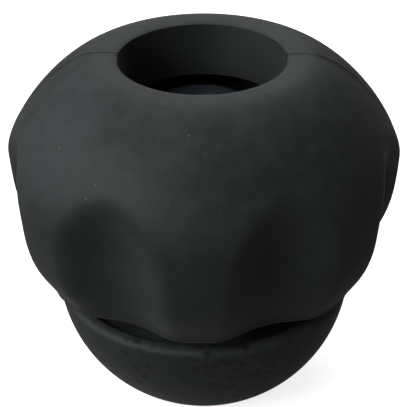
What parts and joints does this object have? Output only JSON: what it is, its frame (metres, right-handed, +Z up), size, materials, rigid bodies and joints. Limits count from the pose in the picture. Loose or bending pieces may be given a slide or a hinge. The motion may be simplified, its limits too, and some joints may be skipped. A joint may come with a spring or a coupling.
{
  "type": "case opening friction ball",
  "caption": "Black rubber friction ball for opening screwed watch backs: a hollow grip with seven lobes and a round open mouth, set on a smooth ball for the palm.",
  "frame": {"origin": "centre of the flat foot under the palm ball, on the surface that the tool stands on", "axes": "+Z up along the tool's axis, out of the mouth; the seam between the grip halves runs along X, 1.5 mm behind the axis, so one half faces -Y and the other +Y; one of the seven lobes faces -Y"},
  "size_m": [0.0732, 0.0721, 0.0676],
  "materials": {
    "grip_rubber": "matte moulded black rubber with a dusty sheen",
    "palm_rubber": "matte moulded black rubber, slightly mottled",
    "hub_plastic": "smooth glossy black plastic"
  },
  "bodies": {
    "root": {"grip_half_front": "grip_rubber", "grip_half_rear": "grip_rubber", "palm_ball": "palm_rubber", "core_hub": "hub_plastic"}
  },
  "joints": []
}
